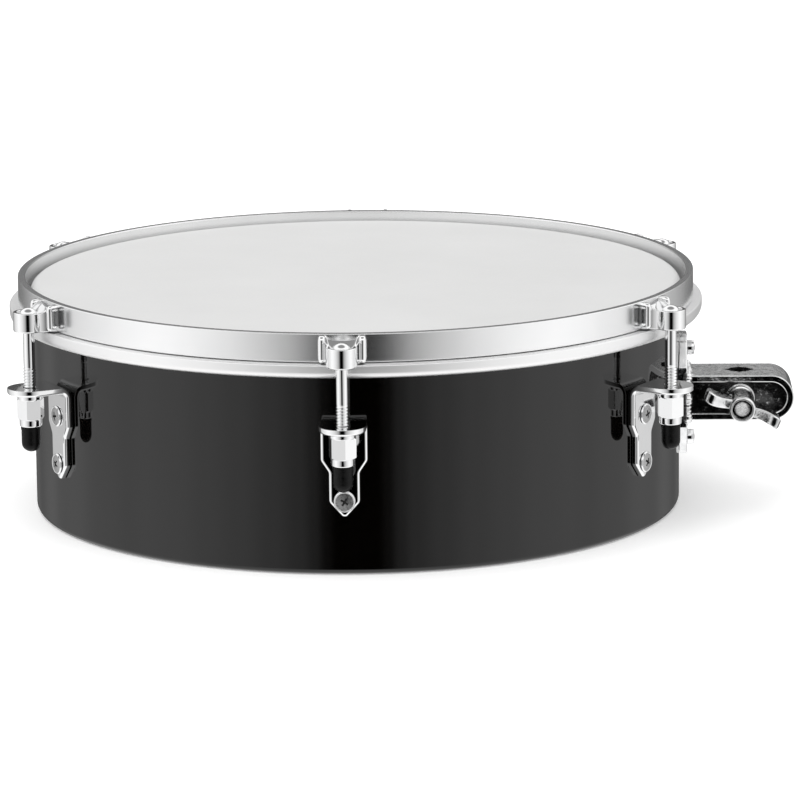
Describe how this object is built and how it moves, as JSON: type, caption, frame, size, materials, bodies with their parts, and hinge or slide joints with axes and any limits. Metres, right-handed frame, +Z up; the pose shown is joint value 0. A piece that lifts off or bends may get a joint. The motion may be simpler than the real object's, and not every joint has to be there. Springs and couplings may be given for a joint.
{
  "type": "hand bale drum",
  "caption": "Shallow steel hand drum with a white head, a chrome counter hoop tuned by rods and hexagon nuts, and a side clamp for a stand rod.",
  "frame": {"origin": "centre of the bounding box on the plane of the shell's foot. The drum's own axis is vertical, at x = -0.02325", "axes": "+Z up through the playing head, +X towards the rod clamp, -Y towards the lug that faces the viewer and the wing nut's front"},
  "size_m": [0.3996, 0.388, 0.12],
  "materials": {
    "shell_black": "gloss",
    "head_white": "fine coated, satin",
    "chrome": "mirror",
    "hoop_bright": "polished",
    "cap_rubber": "satin",
    "zinc_steel": "zinc plated"
  },
  "bodies": {
    "root": {"shell": "shell_black", "drumhead": "head_white", "flesh_hoop": "hoop_bright", "lug_bracket_1": "chrome", "lug_bracket_2": "chrome", "lug_bracket_3": "chrome", "lug_bracket_4": "chrome", "lug_bracket_5": "chrome", "lug_bracket_6": "chrome", "lug_screw_upper_1": "chrome", "lug_screw_upper_2": "chrome", "lug_screw_upper_3": "chrome", "lug_screw_upper_4": "chrome", "lug_screw_upper_5": "chrome", "lug_screw_upper_6": "chrome", "lug_screw_lower_1": "chrome", "lug_screw_lower_2": "chrome", "lug_screw_lower_3": "chrome", "lug_screw_lower_4": "chrome", "lug_screw_lower_5": "chrome", "lug_screw_lower_6": "chrome", "screw_nut_upper_1": "zinc_steel", "screw_nut_upper_2": "zinc_steel", "screw_nut_upper_3": "zinc_steel", "screw_nut_upper_4": "zinc_steel", "screw_nut_upper_5": "zinc_steel", "screw_nut_upper_6": "zinc_steel", "screw_nut_lower_1": "zinc_steel", "screw_nut_lower_2": "zinc_steel", "screw_nut_lower_3": "zinc_steel", "screw_nut_lower_4": "zinc_steel", "screw_nut_lower_5": "zinc_steel", "screw_nut_lower_6": "zinc_steel", "clamp_bracket": "chrome", "clamp_screw_upper": "chrome", "clamp_screw_lower": "chrome", "clamp_nut_upper": "zinc_steel", "clamp_nut_lower": "zinc_steel", "clamp_washer": "chrome"},
    "hoop": {"counter_hoop": "chrome", "tension_rod_1": "chrome", "tension_rod_2": "chrome", "tension_rod_3": "chrome", "tension_rod_4": "chrome", "tension_rod_5": "chrome", "tension_rod_6": "chrome"},
    "nut_1": {"tension_nut_1": "chrome", "rubber_cap_1": "cap_rubber"},
    "nut_2": {"tension_nut_2": "chrome", "rubber_cap_2": "cap_rubber"},
    "nut_3": {"tension_nut_3": "chrome", "rubber_cap_3": "cap_rubber"},
    "nut_4": {"tension_nut_4": "chrome", "rubber_cap_4": "cap_rubber"},
    "nut_5": {"tension_nut_5": "chrome", "rubber_cap_5": "cap_rubber"},
    "nut_6": {"tension_nut_6": "chrome", "rubber_cap_6": "cap_rubber"},
    "eye": {"eye_bolt": "chrome"},
    "wings": {"wing_nut": "chrome"}
  },
  "joints": [
    {"name": "hoop_lift", "type": "slide", "parent": "root", "child": "hoop", "axis": [0, 0, 1], "range_m": [0, 0.006]},
    {"name": "tension_nut_turn_1", "type": "hinge", "parent": "root", "child": "nut_1", "pos_m": [-0.02325, -0.1828, 0.0742], "axis": [0, 0, -1], "range_deg": [0, 2160]},
    {"name": "tension_nut_turn_2", "type": "hinge", "parent": "root", "child": "nut_2", "pos_m": [0.13506, -0.0914, 0.0742], "axis": [0, 0, -1], "range_deg": [0, 2160]},
    {"name": "tension_nut_turn_3", "type": "hinge", "parent": "root", "child": "nut_3", "pos_m": [0.13506, 0.0914, 0.0742], "axis": [0, 0, -1], "range_deg": [0, 2160]},
    {"name": "tension_nut_turn_4", "type": "hinge", "parent": "root", "child": "nut_4", "pos_m": [-0.02325, 0.1828, 0.0742], "axis": [0, 0, -1], "range_deg": [0, 2160]},
    {"name": "tension_nut_turn_5", "type": "hinge", "parent": "root", "child": "nut_5", "pos_m": [-0.18156, 0.0914, 0.0742], "axis": [0, 0, -1], "range_deg": [0, 2160]},
    {"name": "tension_nut_turn_6", "type": "hinge", "parent": "root", "child": "nut_6", "pos_m": [-0.18156, -0.0914, 0.0742], "axis": [0, 0, -1], "range_deg": [0, 2160]},
    {"name": "eye_draw", "type": "slide", "parent": "root", "child": "eye", "axis": [0, -1, 0], "range_m": [0, 0.0025]},
    {"name": "wing_nut_turn", "type": "hinge", "parent": "root", "child": "wings", "pos_m": [0.17245, -0.0173, 0.0546], "axis": [0, 1, 0], "range_deg": [0, 720]}
  ],
  "couplings": [
    {"joint": "tension_nut_turn_1", "follows": "hoop_lift", "rad_per_m": 6283.2},
    {"joint": "tension_nut_turn_2", "follows": "hoop_lift", "rad_per_m": 6283.2},
    {"joint": "tension_nut_turn_3", "follows": "hoop_lift", "rad_per_m": 6283.2},
    {"joint": "tension_nut_turn_4", "follows": "hoop_lift", "rad_per_m": 6283.2},
    {"joint": "tension_nut_turn_5", "follows": "hoop_lift", "rad_per_m": 6283.2},
    {"joint": "tension_nut_turn_6", "follows": "hoop_lift", "rad_per_m": 6283.2},
    {"joint": "wing_nut_turn", "follows": "eye_draw", "rad_per_m": 5026.5}
  ]
}
